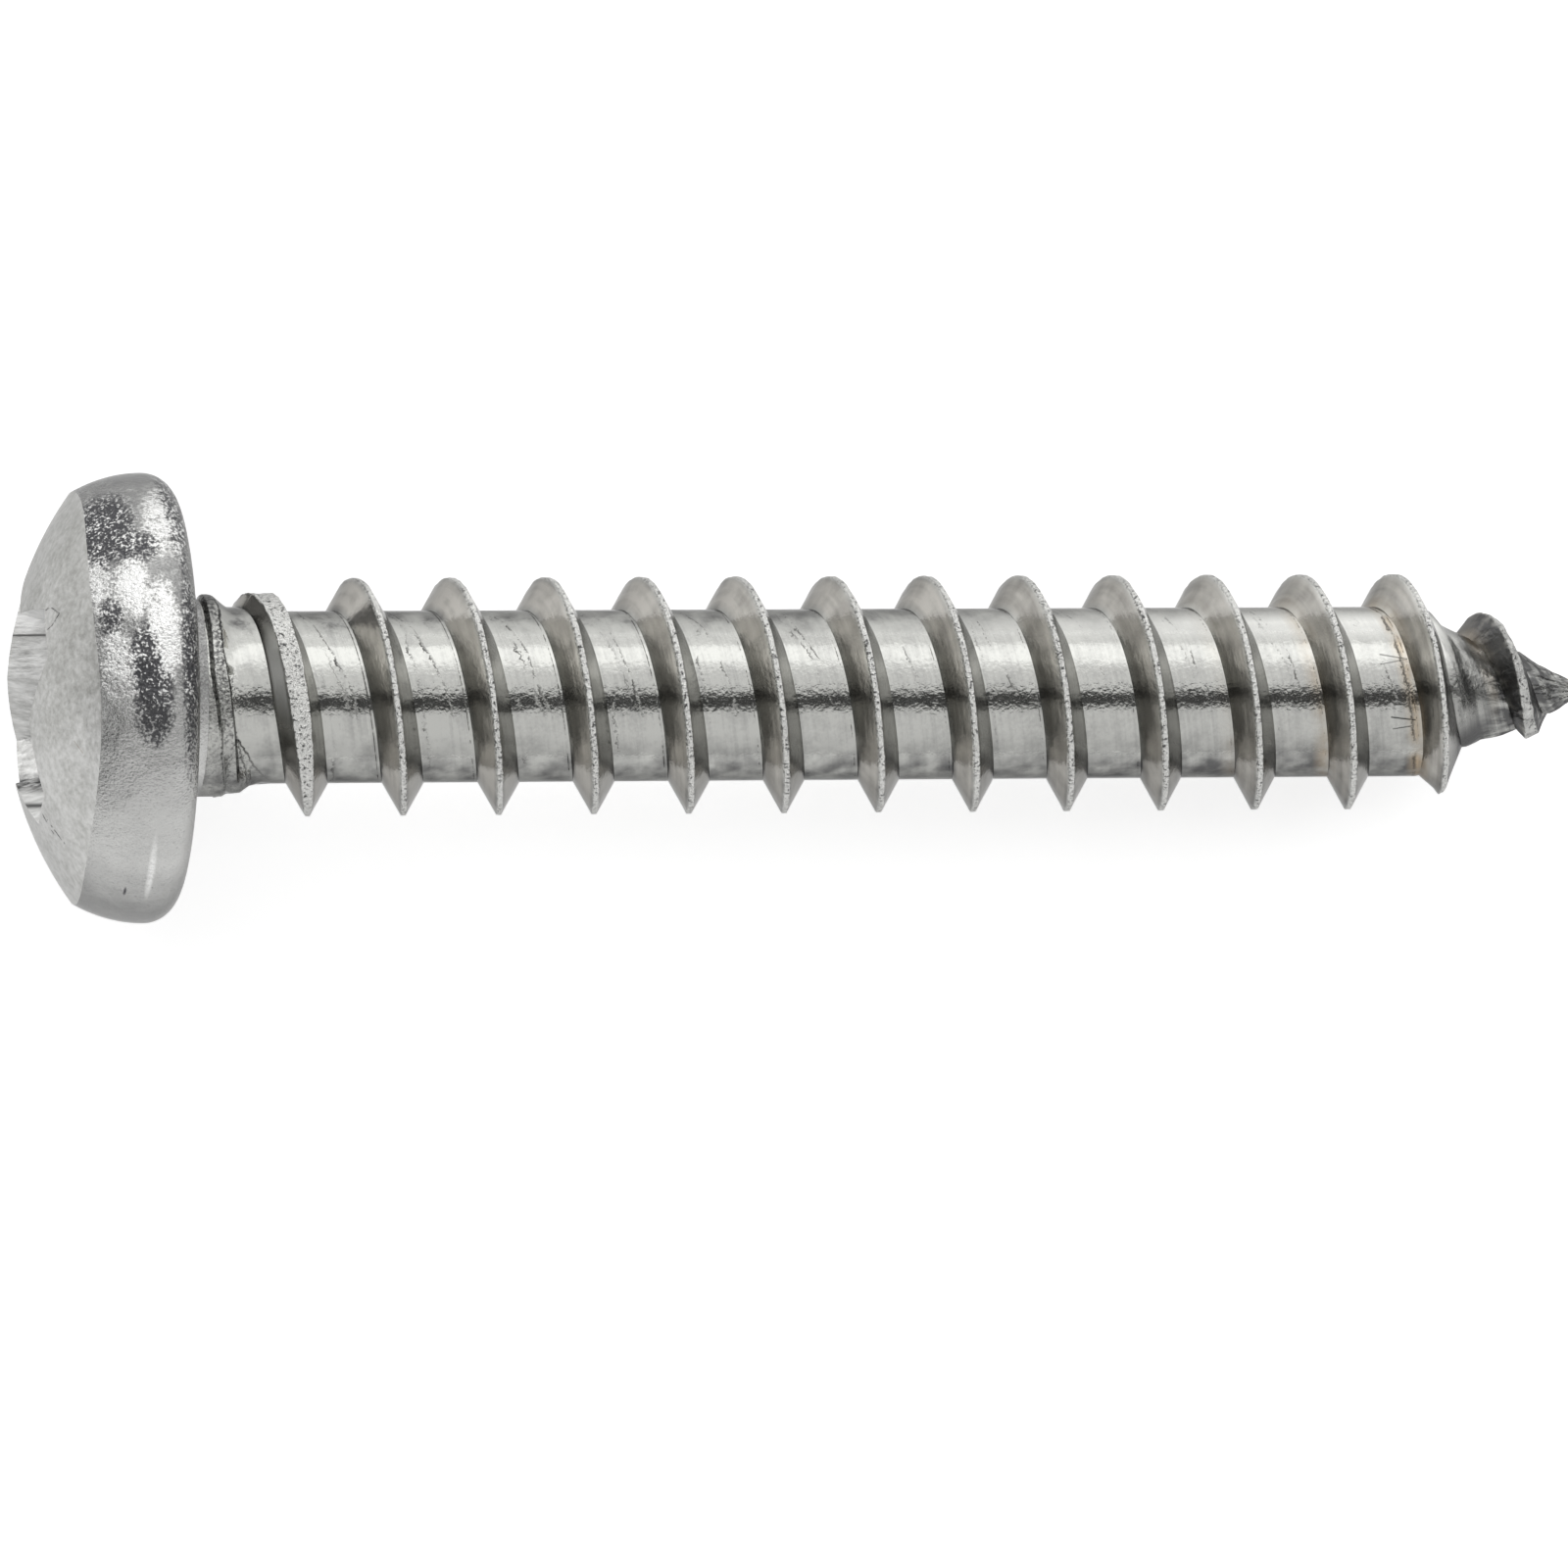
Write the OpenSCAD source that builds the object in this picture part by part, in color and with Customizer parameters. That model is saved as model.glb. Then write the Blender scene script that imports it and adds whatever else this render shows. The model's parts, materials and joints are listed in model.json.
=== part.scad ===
// Sheet metal screw with a pan head, a cross recess and a coarse thread up to its sharp point.
// One piece of wire, cold-headed, thread-rolled and pointed, lying on z = 0 as it comes to rest:
// the head's rim and a thread crest near the point touch the surface. Millimetres, +Z up, point to +X.

/* [Head] */
// Largest diameter of the head, round its rim
head_d = 7.85; // [7.6:0.05:8.6]
// Diameter of the sharp edge between the dome and the rim
dome_edge_d = 7.3; // [6.9:0.05:7.5]
// Height of the rim, from the bearing face to the dome's edge
rim_h = 1.7; // [1.5:0.05:2]
// Height of the dome above its edge
dome_h = 1.2; // [1:0.05:1.4]
// Radius of the corner between the bearing face and the rim
corner_r = 0.55; // [0.3:0.05:0.7]
// Diameter where the fillet of the neck meets the bearing face, clear of the thread crests
fillet_d = 4.25; // [4.2:0.05:4.4]

/* [Recess] */
// Width across two opposite wings, where they meet the dome
recess_d = 4.5; // [4.2:0.05:4.7]
// Depth of the recess below the top of the dome
recess_depth = 2.4; // [2:0.05:2.5]
// Width of a wing at its end, on the dome
wing_w = 0.96; // [0.8:0.02:1.1]
// Width of a wing at its end, on the floor
wing_floor_w = 0.7; // [0.6:0.02:0.76]
// Distance across the corners between the wings, on the dome
recess_core_d = 2.9; // [2.6:0.05:3]
// Distance across the corners between the wings, on the floor
recess_floor_core_d = 1.9; // [1.7:0.05:2]
// Height of the shallow cone that ends the recess
recess_floor_cone_h = 0.35; // [0.2:0.05:0.5]
// Slope of a wing's end, in degrees from the screw's axis
wing_slope = 26.5; // [24:0.5:28]
// Turn of the first wing round the screw's axis, in degrees from the floor side
recess_turn = 59.6; // [0:0.2:90]

/* [Thread] */
// Length from the bearing face to the point
length = 25.4; // [19:0.1:38]
// Diameter over the thread crests
crest_d = 4.16; // [4:0.02:4.3]
// Diameter at the thread roots
root_d = 3.01; // [2.9:0.02:3.12]
// Advance of the thread in one turn
pitch = 1.693; // [1.5:0.001:1.9]
// Width of the flat that is left on a full crest
crest_land = 0.12; // [0.06:0.01:0.2]
// Slope of a thread flank, in degrees from square to the axis
flank_slope = 30; // [27:1:33]

/* [Neck] */
// Diameter of the unrolled neck below the head
neck_d = 3.47; // [3.3:0.01:3.6]
// Shortest length of the neck, from the bearing face to the lip of the first groove
neck_l = 0.55; // [0.5:0.05:0.9]
// Length over which the lip slopes down to the root
lip_slope_l = 0.3; // [0.2:0.05:0.4]
// Width of the blunt crest where the first ridge leaves the neck
first_land = 0.75; // [0.5:0.05:0.9]
// Distance from the bearing face to the crest where the first ridge begins
first_crest_z = 0.7; // [0.6:0.01:0.8]

/* [Point] */
// Angle of the point, from side to side
point_angle = 53.8; // [45:0.2:60]
// Height of the thread above the cone of the point
point_thread_h = 0.36; // [0.25:0.01:0.45]

/* [Hidden] */

// Flat steps to a turn of the thread, and to a quarter circle of the head's profile
thread_sides = 40;
arc_steps = 10;
// Turns in which the first ridge rises, its first groove sinks, and the last ridge fades
rise_turns = 1;
sink_turns = 0.77;
trail_turns = 0.35;
fade_turns = 0.75;
// Where round the axis the thread begins, in degrees from the floor side
thread_start = 270;
// Least step between two points of the thread's profile, and the gap left before the very point
least_step = 0.04;
point_gap = 0.15;
// How far the shank reaches into the head, how far its sides lie inside the turned neck,
// and how far a cutter clears the surface that it enters
shank_root_l = 0.25;
neck_seat = 0.01;
cutter_clear = 0.3;

head_r = head_d / 2;
neck_r = neck_d / 2;
crest_r = crest_d / 2;
root_r = root_d / 2;
dome_edge_r = dome_edge_d / 2;
head_h = rim_h + dome_h;
neck_fillet_r = fillet_d / 2 - neck_r;
// The turned neck ends between its fillet and the first lip. The rolled shank lies just inside it.
turned_neck_l = (neck_fillet_r + neck_l) / 2;
blank_r = neck_r - neck_seat;

// Radius of the dome, and of the bulge of the rim between its widest line and the dome's edge
dome_r = (dome_edge_r * dome_edge_r + dome_h * dome_h) / (2 * dome_h);
rim_drop = head_r - dome_edge_r;
rim_run = rim_h - corner_r;
rim_r = (rim_run * rim_run + rim_drop * rim_drop) / (2 * rim_drop);

// The last full crest on the floor side, and the tilt at which it and the rim both touch the floor
point_slope = tan(point_angle / 2);
full_thread_end = length - (crest_r - point_thread_h) / point_slope;
floor_turn = (360 - thread_start) / 360;
floor_crests = floor((full_thread_end - first_crest_z) / pitch - floor_turn);
last_floor_crest = first_crest_z + pitch * (floor_crests + floor_turn) + crest_land / 2;
rest_reach = last_floor_crest + corner_r;
rest_rise = head_r - corner_r - crest_r;
rest_tilt = atan2(rest_rise, rest_reach) + asin(corner_r / norm([rest_reach, rest_rise]));
axis_height = last_floor_crest * sin(rest_tilt) + crest_r * cos(rest_tilt);
// From the bearing face to the middle of the screw's length as it lies, where the recess opens the dome
recess_edge_r = recess_core_d / 2;
recess_edge_z = dome_r - head_h - sqrt(dome_r * dome_r - recess_edge_r * recess_edge_r);
middle = ((length + recess_edge_z) * cos(rest_tilt) - recess_edge_r * sin(rest_tilt)) / 2;

// Last step of the thread, which ends just before the very point
last_step = floor((length - point_gap - crest_land / 2 - least_step - first_crest_z)
    / pitch * thread_sides);

function blend(from, to, share) = from + (to - from) * min(1, max(0, share));
function arc(centre, radius, from, to, first = 0) = [
    for (i = [first : arc_steps])
        let (a = from + (to - from) * i / arc_steps)
        centre + radius * [cos(a), sin(a)]
];
function round_point(radius, angle, z) = [radius * cos(angle), radius * sin(angle), z];

// Outline of the head and neck: radius from the axis, and distance from the bearing face
function head_outline() = concat(
    [[0, turned_neck_l], [neck_r, turned_neck_l]],
    arc([neck_r + neck_fillet_r, neck_fillet_r], neck_fillet_r, 180, 270),
    arc([head_r - corner_r, -corner_r], corner_r, 90, 0),
    arc([head_r - rim_r, -corner_r], rim_r, 0, -asin(rim_run / rim_r), 1),
    arc([0, dome_r - head_h], dome_r, asin(dome_edge_r / dome_r) - 90, -90, 1)
);

// Sizes of the recess at a distance z from the bearing face
dome_at_wing = dome_r - head_h - sqrt(dome_r * dome_r - recess_d * recess_d / 4);
recess_floor = recess_depth - head_h - recess_floor_cone_h;
function wing_reach(z) = recess_d / 2 - (z - dome_at_wing) * tan(wing_slope);
function down_recess(z) = (z - dome_at_wing) / (recess_floor - dome_at_wing);
function wing_half(z) = (wing_w + (wing_floor_w - wing_w) * down_recess(z)) / 2;
function core_reach(z) = (recess_core_d + (recess_floor_core_d - recess_core_d) * down_recess(z)) / 2;

// One level of the recess: two corners at the end of each wing and one between it and the next
function recess_ring(z) = [
    for (wing = [0 : 3], corner = [0 : 2])
        let (spread = atan2(wing_half(z), wing_reach(z)))
        let (end = norm([wing_half(z), wing_reach(z)]))
        corner == 2
            ? round_point(core_reach(z), 90 * wing + 45, z)
            : round_point(end, 90 * wing + (corner == 0 ? -spread : spread), z)
];

module recess() {
    top = -head_h - cutter_clear;
    sides = 12;
    points = concat(recess_ring(top), recess_ring(recess_floor), [[0, 0, recess_depth - head_h]]);
    walls = [
        for (i = [0 : sides - 1])
            let (next = (i + 1) % sides)
            each [[i, sides + i, sides + next], [i, sides + next, next]]
    ];
    floor_cone = [for (i = [0 : sides - 1]) [sides + i, 2 * sides, sides + (i + 1) % sides]];
    color("gray")
        rotate([0, 0, recess_turn])
            polyhedron(points, concat([[for (i = [0 : sides - 1]) i]], walls, floor_cone));
}

// Shape of the thread at step j of its helix
function turns(j) = j / thread_sides;
function step_angle(j) = thread_start + 360 * turns(j);
function crest_z(j) = first_crest_z + pitch * turns(j);
function rise(j) = turns(j) / rise_turns;
function cone_r(z) = (length - z) * point_slope;
function core_r(z) = min(root_r, cone_r(z));
function full_crest_r(z) = min(crest_r, cone_r(z) + point_thread_h);
function fade(j) = (last_step - j) / (thread_sides * fade_turns);
function ridge_r(j, z) = blend(
    core_r(z),
    blend(blank_r, full_crest_r(z), pow(min(1, rise(j)), 2)),
    fade(j)
);
function floor_r(j, z) = blend(blank_r, core_r(z), turns(j) / sink_turns);
function trail_r(j, z) = blend(blank_r, core_r(z), turns(j) / trail_turns);
function half_land(j) = blend(first_land, crest_land, rise(j)) / 2;
function flank_l(ridge, foot) = max(least_step / 2, (ridge - foot) * tan(flank_slope));
function right_crest_z(j) = crest_z(j) + half_land(j);
function right_foot_z(j) =
    let (z = right_crest_z(j))
    z + flank_l(ridge_r(j, z), trail_r(j, z));
function lead_z(j) = j < thread_sides
    ? max(neck_l, right_foot_z(0) - pitch * (1 - turns(j)))
    : right_foot_z(j - thread_sides);
function left_crest_z(j) = max(crest_z(j) - half_land(j), lead_z(j) + 3 * least_step);
function left_foot_z(j) =
    let (z = left_crest_z(j))
    max(z - flank_l(ridge_r(j, z), floor_r(j, z)), lead_z(j) + 2 * least_step);
function floor_z(j) = min(lead_z(j) + lip_slope_l, (lead_z(j) + left_foot_z(j)) / 2);

// The five points of the profile at step j: groove floor, left foot, both crest edges, right foot
function profile(j) =
    let (a = step_angle(j), z = [floor_z(j), left_foot_z(j), left_crest_z(j), right_crest_z(j)])
    let (end = right_foot_z(j))
    [
        round_point(floor_r(j, z[0]), a, z[0]),
        round_point(floor_r(j, z[1]), a, z[1]),
        round_point(ridge_r(j, z[2]), a, z[2]),
        round_point(ridge_r(j, z[3]), a, z[3]),
        round_point(trail_r(j, end), a, end)
    ];

// Numbers of the points in the shank's list. A turn's lead is the right foot of the turn before it.
function point_number(j, k) = 2 * thread_sides + 5 * j + k;
function lead_number(j) = j < thread_sides ? thread_sides + j : point_number(j - thread_sides, 4);
function row(j) = [lead_number(j), for (k = [0 : 4]) point_number(j, k)];

module shank() {
    root_ring = [
        for (j = [0 : thread_sides - 1])
            round_point(blank_r, step_angle(j), -shank_root_l)
    ];
    lip = [
        for (j = [0 : thread_sides - 1])
            round_point(blank_r, step_angle(j), lead_z(j))
    ];
    helix = [for (j = [0 : last_step]) each profile(j)];
    points = concat(root_ring, lip, helix, [[0, 0, length]]);
    tip = len(points) - 1;

    inner_end = [for (j = [0 : thread_sides - 1]) j];
    neck_sides = [
        for (j = [0 : thread_sides - 2])
            each [[j, lead_number(j), lead_number(j + 1)], [j, lead_number(j + 1), j + 1]]
    ];
    // The last strip of the neck meets the whole profile of step 0
    first_line = concat([0], row(0));
    neck_last = thread_sides - 1;
    neck_close = concat(
        [[neck_last, lead_number(neck_last), 0]],
        [
            for (i = [0 : len(first_line) - 2])
                [lead_number(neck_last), first_line[i + 1], first_line[i]]
        ]
    );
    ridges = [
        for (j = [0 : last_step - 1])
            let (here = row(j), ahead = row(j + 1))
            for (k = [0 : 4])
                each [[here[k], here[k + 1], ahead[k + 1]], [here[k], ahead[k + 1], ahead[k]]]
    ];
    // The last turn's right feet run up to the tip, and the first of these strips meets the last profile
    last_turn = last_step - thread_sides;
    last_line = concat(row(last_step), [tip]);
    tip_close = [
        for (i = [0 : len(last_line) - 2])
            [last_line[i], last_line[i + 1], point_number(last_turn + 1, 4)]
    ];
    tip_sides = [
        for (j = [last_turn + 1 : last_step - 1])
            [point_number(j, 4), tip, point_number(j + 1, 4)]
    ];
    color("silver")
        polyhedron(points, concat([inner_end], neck_sides, neck_close, ridges, tip_close, tip_sides));
}

module head() {
    color("silver")
        difference() {
            rotate_extrude($fn = 96)
                polygon(head_outline());
            recess();
        }
}

module screw() {
    translate([-middle, 0, axis_height])
        rotate([0, 90 + rest_tilt, 0]) {
            head();
            shank();
        }
}

screw();
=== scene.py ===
import json
import math
import bmesh
import bpy
from mathutils import Matrix, Vector, noise


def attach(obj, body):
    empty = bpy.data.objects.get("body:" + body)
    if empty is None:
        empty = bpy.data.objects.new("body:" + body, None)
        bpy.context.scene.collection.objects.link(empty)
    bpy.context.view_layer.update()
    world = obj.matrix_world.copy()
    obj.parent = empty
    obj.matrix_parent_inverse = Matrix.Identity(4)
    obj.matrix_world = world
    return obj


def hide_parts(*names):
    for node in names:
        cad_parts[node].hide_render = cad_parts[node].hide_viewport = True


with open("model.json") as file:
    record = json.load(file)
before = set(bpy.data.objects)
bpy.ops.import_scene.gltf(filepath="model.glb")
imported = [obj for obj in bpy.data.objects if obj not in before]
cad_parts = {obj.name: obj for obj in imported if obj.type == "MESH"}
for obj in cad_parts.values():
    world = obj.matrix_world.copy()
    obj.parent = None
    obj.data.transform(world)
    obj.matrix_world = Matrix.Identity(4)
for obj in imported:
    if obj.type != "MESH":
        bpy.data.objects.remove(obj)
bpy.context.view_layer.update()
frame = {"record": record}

# How the screw lies. It rests on the rim of its head and on one thread crest near the point, so its
# axis slopes down by a few degrees. Every size below is in millimetres: z runs along the screw from
# the bearing face to the point, +x faces the floor, and lie puts the finished mesh in its place.
MM = 0.001
bearing = next(mount for mount in frame["record"]["mounts"] if mount["name"] == "bearing_face")
face_centre = Vector((bearing["pos_m"][0], 0.0, bearing["pos_m"][2]))
axis_turn = math.atan2(bearing["axis"][0], bearing["axis"][2])
lie = Matrix.Translation(face_centre) @ Matrix.Rotation(axis_turn, 4, "Y") @ Matrix.Scale(MM, 4)


# Thread. The wire is rolled between two dies, which press a right-hand groove into it and let the
# ridge rise between its turns. The first groove starts in the neck, where it folds the metal. The
# last ridge runs out ragged on the point, which the dies pinch to a cone past a shallow waist.
pitch = 1.693
crest_r = 2.08
root_r = 1.505
blank_r = 1.725
length = 25.4
half_crest = 0.04
flank_tan = math.tan(math.radians(30))
least_flank_l = 0.02
first_crest_z = 0.665
thread_start = math.radians(270)
neck_l = 0.6
join_z = 0.4
join_overlap = 0.02
first_half_land = 0.16
widest_half_land = 0.215
widest_turn = 0.5
torn_half_land = 0.165
torn_turn = 0.6
narrow_turn = 0.76
blunt_half_land = 0.12
blunt_turn = 13.45
blunt_turns = 0.5
sink_turns = 0.77
trail_turns = 0.35
seam_turns = 0.3
crest_gap = 0.12
foot_gap = 0.08
lip_slope_l = 0.34
point_tan = math.tan(math.radians(53.8 / 2))
point_thread_h = 0.42
fade_turns = 0.75
last_turn = 14.425
waist_depth = 0.2
waist_start_z = 22.2
waist_in_l = 0.4
waist_end_z = 24.1
waist_out_l = 1.0
turn_steps = 190
rows = 26
fold_rows = (3, 4)
foot_rows = (8, 20)
crest_rows = (12, 16)


def soft_step(share):
    """Runs smoothly from 0 to 1 as share does."""
    share = min(1.0, max(0.0, share))
    return share * share * (3 - 2 * share)


def blend(start, end, share):
    """Runs straight from start to end as share runs from 0 to 1, and stays there."""
    return start + (end - start) * min(1.0, max(0.0, share))


def core_radius(z):
    """Radius at the bottom of the groove, with the waist that the dies leave before the point."""
    waist_in = soft_step((z - waist_start_z) / waist_in_l)
    waist_out = soft_step((waist_end_z - z) / waist_out_l)
    return min(root_r, max(0.0, length - z) * point_tan) - waist_depth * waist_in * waist_out


def ridge_radius(turn, z):
    """Radius of the ridge, which rises out of the wire in the first turn and fades in the last."""
    full = min(crest_r, max(0.0, length - z) * point_tan + point_thread_h)
    risen = blank_r + (full - blank_r) * min(1.0, max(0.0, turn)) ** 2
    return blend(core_radius(z), risen, (last_turn - turn) / fade_turns)


def groove_radius(turn, z):
    """Radius of the groove before this turn of the ridge."""
    return blend(blank_r, core_radius(z), turn / sink_turns)


def trail_radius(turn, z):
    """Radius of the groove past this turn of the ridge."""
    return blend(blank_r, core_radius(z), turn / trail_turns)


def half_land(turn):
    """Half the crest's width: wide and torn in the first turn, sharp after it and blunt at the end."""
    if turn < widest_turn:
        return blend(first_half_land, widest_half_land, turn / widest_turn)
    if turn < narrow_turn:
        share = (turn - widest_turn) / (torn_turn - widest_turn)
        return blend(widest_half_land, torn_half_land, share)
    if turn < blunt_turn:
        return blend(torn_half_land, half_crest, (turn - narrow_turn) / (1 - narrow_turn))
    return blend(half_crest, blunt_half_land, (turn - blunt_turn) / blunt_turns)


def right_foot(turn):
    z = first_crest_z + pitch * turn + half_land(turn)
    return z + max(least_flank_l, (ridge_radius(turn, z) - trail_radius(turn, z)) * flank_tan)


def lead(turn):
    """Where the groove before this turn of the ridge begins."""
    if turn < 0:
        return max(join_z - join_overlap, neck_l + pitch * turn)
    if turn < 1:
        return max(neck_l, right_foot(0) - pitch * (1 - turn))
    return right_foot(turn - 1)


def left_crest(turn):
    return max(first_crest_z + pitch * turn - half_land(turn), lead(turn) + crest_gap)


def left_foot(turn):
    z = left_crest(turn)
    flank_l = max(least_flank_l, (ridge_radius(turn, z) - groove_radius(turn, z)) * flank_tan)
    return max(z - flank_l, lead(turn) + foot_gap)


def seam(turn):
    """Where one turn of the mesh ends and the next begins: the middle of the groove, once it is there."""
    start = lead(turn)
    if turn < 1:
        return start
    return start + (left_foot(turn) - start) / 2 * soft_step((turn - 1) / seam_turns)


def groove_bed(turn, z):
    """Radius of the groove before this turn, from the lip of the turn before to its own left foot."""
    start = lead(turn)
    lip_r = blank_r if turn < 1 else trail_radius(turn - 1, start)
    slope_l = max(0.001, min(lip_slope_l, (left_foot(turn) - start) / 2))
    return blend(lip_r, groove_radius(turn, z), (z - start) / slope_l)


# The neck's lip has two folds. Each runs straight round the screw, and slants towards the point below
# an angle from the top of the screw as it lies. The cracks in the finish follow the same two lines.
lower_fold_z = 0.46
lower_fold_slant = 0.0043
lower_slant_from = 15.0
upper_fold_z = 0.67
upper_fold_slant = 0.004
upper_slant_from = 30.0
low_lip_r = 1.745
lip_rise = 0.06
crease_depth = 0.03
crease_half_w = 0.02


def fold_lines(degrees):
    """Where the two folds lie along the screw, for an angle from its top."""
    lower = lower_fold_z + lower_fold_slant * max(0.0, lower_slant_from - degrees)
    upper = upper_fold_z + upper_fold_slant * max(0.0, upper_slant_from - degrees)
    return lower, upper


def lip_shown(degrees):
    """How far the lip stands out, from 0 to 1, for an angle from the screw's top."""
    return soft_step((degrees + 95) / 25) * soft_step((170 - degrees) / 60)


def folded(radius, z, degrees):
    """Radius with the double lip that the first groove pushes up on the neck."""
    lower, upper = fold_lines(degrees)
    lip_r = low_lip_r + lip_rise * soft_step((degrees - 5) / 60)
    high = soft_step((degrees - 30) / 40)
    drop_l = 0.04 + 0.32 * high + 0.3 * soft_step((-50 - degrees) / 30)
    dropped = soft_step((z - upper + 0.005 + 0.08 * high) / drop_l)
    onto = soft_step((z - lower + 0.03) / 0.09) * (1 - dropped)
    crease = crease_depth * math.exp(-(((z - lower) / crease_half_w) ** 2))
    return radius + lip_shown(degrees) * (max(0.0, lip_r - radius) * onto - crease)


def rolled(turn, row):
    """Distance along the screw and radius of the rolled surface, for a turn and a row across it."""
    if turn < 0:
        return blend(seam(turn), seam(turn + 1), row / rows), blank_r
    start, foot = seam(turn), left_foot(turn)
    fold = (start + foot) / 2
    if turn < 1:
        degrees = (270 - 360 * turn + 180) % 360 - 180
        fold = start + 0.15 + (fold_lines(degrees)[1] - start - 0.15) * lip_shown(degrees)
        fold = min(fold, blend(start, foot, 0.8))
    knots = (
        (0, start),
        (fold_rows[0], blend(start, fold, 0.9)),
        (fold_rows[1], blend(fold, foot, 0.04)),
        (foot_rows[0], foot),
        (crest_rows[0], left_crest(turn)),
        (crest_rows[1], first_crest_z + pitch * turn + half_land(turn)),
        (foot_rows[1], right_foot(turn)),
        (rows, seam(turn + 1)),
    )
    for (row_a, z_a), (row_b, z_b) in zip(knots, knots[1:]):
        if row <= row_b:
            z = blend(z_a, z_b, (row - row_a) / (row_b - row_a))
            break
    if row <= foot_rows[0]:
        return z, groove_bed(turn, z)
    if row < crest_rows[0]:
        share = (row - foot_rows[0]) / (crest_rows[0] - foot_rows[0])
        return z, blend(groove_radius(turn, z), ridge_radius(turn, z), share)
    if row <= crest_rows[1]:
        return z, ridge_radius(turn, z)
    if row < foot_rows[1]:
        share = (row - crest_rows[1]) / (foot_rows[1] - crest_rows[1])
        return z, blend(ridge_radius(turn, z), trail_radius(turn, z), share)
    return z, groove_bed(turn + 1, z)


def spun(mesh, points, angle, steps, advance=0.0):
    """Turns a line of points round the z axis, advancing along it."""
    line = [mesh.verts.new(point) for point in points]
    edges = [mesh.edges.new(pair) for pair in zip(line, line[1:])]
    bmesh.ops.spin(
        mesh,
        geom=line + edges,
        cent=(0, 0, 0),
        axis=(0, 0, 1),
        dvec=(0, 0, advance / steps),
        angle=angle,
        steps=steps,
        use_merge=advance == 0,
        use_normal_flip=False,
        use_duplicate=False,
    )


# The surface starts as an even strip, wound round the axis from before the neck to past the point.
# Each of its vertices then goes to its own turn and row of the rolled surface.
strip_r = 2
first_turn = -1.25
spare_turns = 0.6
crest_wear = 0.012
torn_crest_wear = 0.016
crest_wander = 0.01
torn_crest_wander = 0.02
torn_end_z = 23.6
folded_end_z = 1.6
pinched_z = 22.4
pinch_wear = 0.04
tip_l = 0.01

screw = bmesh.new()
crest_mark = screw.verts.layers.float.new("crest")
flank_mark = screw.verts.layers.float.new("flank")
turns_made = math.ceil((length - first_crest_z) / pitch + spare_turns - first_turn)
start_angle = thread_start + 2 * math.pi * first_turn
start_x = strip_r * math.cos(start_angle)
start_y = strip_r * math.sin(start_angle)
spun(
    screw,
    [(start_x, start_y, pitch * (first_turn + row / rows)) for row in range(rows * turns_made + 1)],
    2 * math.pi,
    turn_steps,
    pitch,
)
bmesh.ops.remove_doubles(screw, verts=screw.verts[:], dist=2e-3)
for vert in screw.verts:
    angle = math.atan2(vert.co.y, vert.co.x)
    part_turn = ((angle - thread_start) / (2 * math.pi)) % 1.0
    whole_turn = math.floor(vert.co.z / pitch - part_turn + 1e-5)
    turn = whole_turn + part_turn + 1e-6
    row = (vert.co.z / pitch - part_turn - whole_turn) * rows
    z, radius = rolled(turn, min(rows, max(0.0, row)))
    on_crest = turn > 0 and crest_rows[0] - 0.5 < row < crest_rows[1] + 0.5
    on_flank = turn > 0 and not on_crest and foot_rows[0] + 0.5 < row < foot_rows[1] - 0.5
    vert[crest_mark] = float(on_crest)
    vert[flank_mark] = float(on_flank)
    spot = Vector((strip_r * math.cos(angle), strip_r * math.sin(angle), z))
    if on_crest:
        ragged = soft_step(1.2 - turn) + 0.6 * soft_step((z - torn_end_z) / 0.5)
        radius += (crest_wear + torn_crest_wear * ragged) * noise.fractal(spot * 5, 0.8, 2.2, 4)
        z += (crest_wander + torn_crest_wander * ragged) * noise.noise(spot * 4)
    if z < folded_end_z and not on_crest and not on_flank:
        radius = folded(radius, z, 180 - math.degrees(angle) % 360)
    if z > pinched_z:
        pinched = soft_step((z - pinched_z) / 1.5) * soft_step((length - z) * 2)
        radius += pinch_wear * pinched * noise.noise(spot * 2.5)
    if z >= length - tip_l:
        vert.co = (0.0, 0.0, length)
    else:
        vert.co = (radius * math.cos(angle), radius * math.sin(angle), z)
bmesh.ops.remove_doubles(screw, verts=screw.verts[:], dist=1e-4)
bmesh.ops.bisect_plane(
    screw,
    geom=screw.verts[:] + screw.edges[:] + screw.faces[:],
    dist=1e-5,
    plane_co=(0, 0, join_z),
    plane_no=(0, 0, 1),
    clear_inner=True,
)


# Head. The end of the wire is upset into a pan: a smooth satin dome, a rim that keeps the rough skin
# of the tumbled blank, and a flat bearing face. A cross punch presses the recess, with four wings
# that narrow and come together towards a shallow cone, and leaves faint burrs round its mouth.
head_r = 3.925
dome_edge_r = 3.65
rim_h = 1.7
dome_h = 1.2
corner_r = 0.55
fillet_face_r = 2.125
neck_r = 1.735
recess_turn = math.radians(59.6)
recess_reach = 2.25
recess_depth = 2.4
recess_cone_h = 0.35
wing_half_w = 0.48
wing_floor_half_w = 0.35
core_r = 1.45
core_floor_r = 0.95
wing_tan = math.tan(math.radians(26.5))
head_columns = 360
wing_columns = 13
floor_rings = 3
wall_rings = 10
dome_rings = 14
rim_steps = 12
corner_steps = 10
fillet_steps = 6
sharp_angle = math.radians(38)
dome_slot, rim_slot, recess_slot, thread_slot = range(4)

head_h = rim_h + dome_h
dome_r = (dome_edge_r**2 + dome_h**2) / (2 * dome_h)
recess_floor_z = recess_depth - head_h - recess_cone_h


def dome_z(radius):
    return dome_r - head_h - math.sqrt(dome_r**2 - radius**2)


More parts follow.
